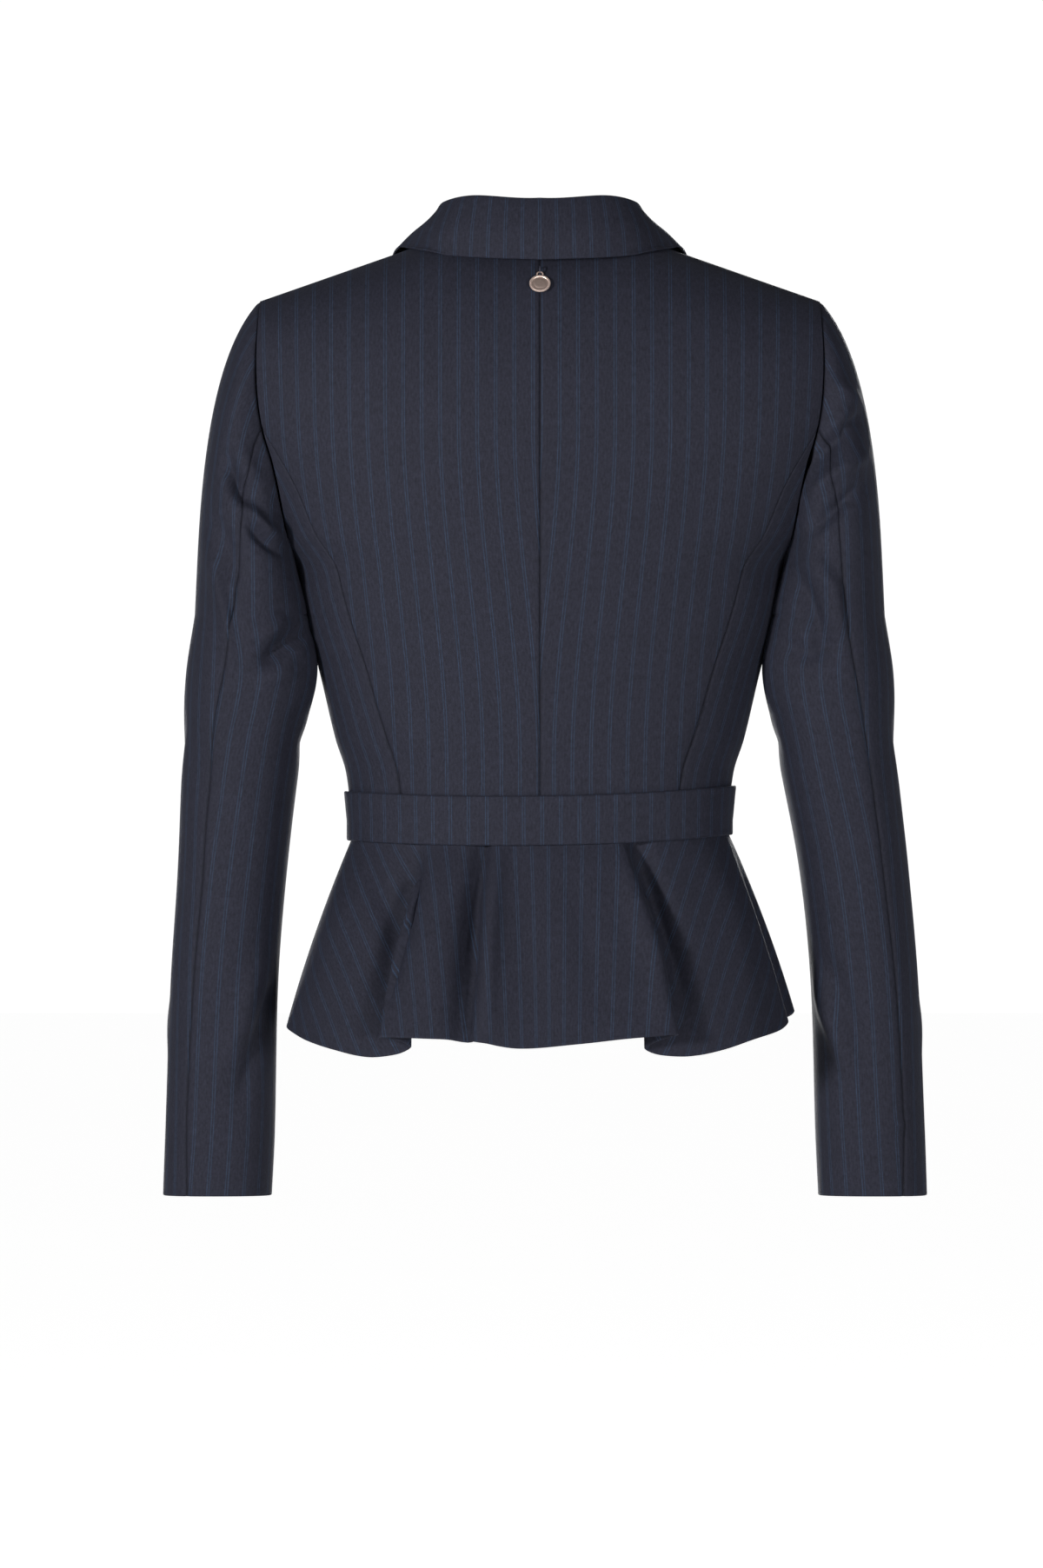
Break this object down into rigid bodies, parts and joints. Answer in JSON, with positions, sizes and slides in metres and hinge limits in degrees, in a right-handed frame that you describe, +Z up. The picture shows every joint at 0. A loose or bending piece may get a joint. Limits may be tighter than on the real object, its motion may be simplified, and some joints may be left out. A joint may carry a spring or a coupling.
{
  "type": "fitted blazer with a belted waist and a flared peplum",
  "caption": "Fitted pinstripe blazer with a turned-down collar, long two-piece sleeves, a belted waist and a flared, folded peplum.",
  "frame": {"origin": "midway between the two points where the neck meets the shoulders, where the wearer's shoulders carry the blazer", "axes": "+Z up, the garment's front towards -Y, the wearer's left towards +X"},
  "size_m": [0.5296, 0.2756, 0.688],
  "materials": {
    "wool": "navy wool twill with fine double pinstripes",
    "horn": "dark polished horn look",
    "rose_metal": "pale rose metal, satin",
    "thread": "twisted navy sewing thread"
  },
  "bodies": {
    "garment": {"back_left": "wool", "back_right": "wool", "side_back_left": "wool", "side_back_right": "wool", "front_left": "wool", "front_right": "wool", "upper_sleeve_left": "wool", "upper_sleeve_right": "wool", "under_sleeve_left": "wool", "under_sleeve_right": "wool", "collar": "wool", "lapel_left": "wool", "lapel_right": "wool", "belt": "wool", "peplum_back": "wool", "peplum_front_left": "wool", "peplum_front_right": "wool", "front_button": "horn", "charm_loop": "thread"},
    "charm": {"charm": "rose_metal"}
  },
  "joints": [
    {"name": "charm_lift", "type": "hinge", "parent": "garment", "child": "charm", "pos_m": [0, 0.07269, -0.01469], "axis": [1, 0, 0], "range_deg": [0, 75]}
  ]
}
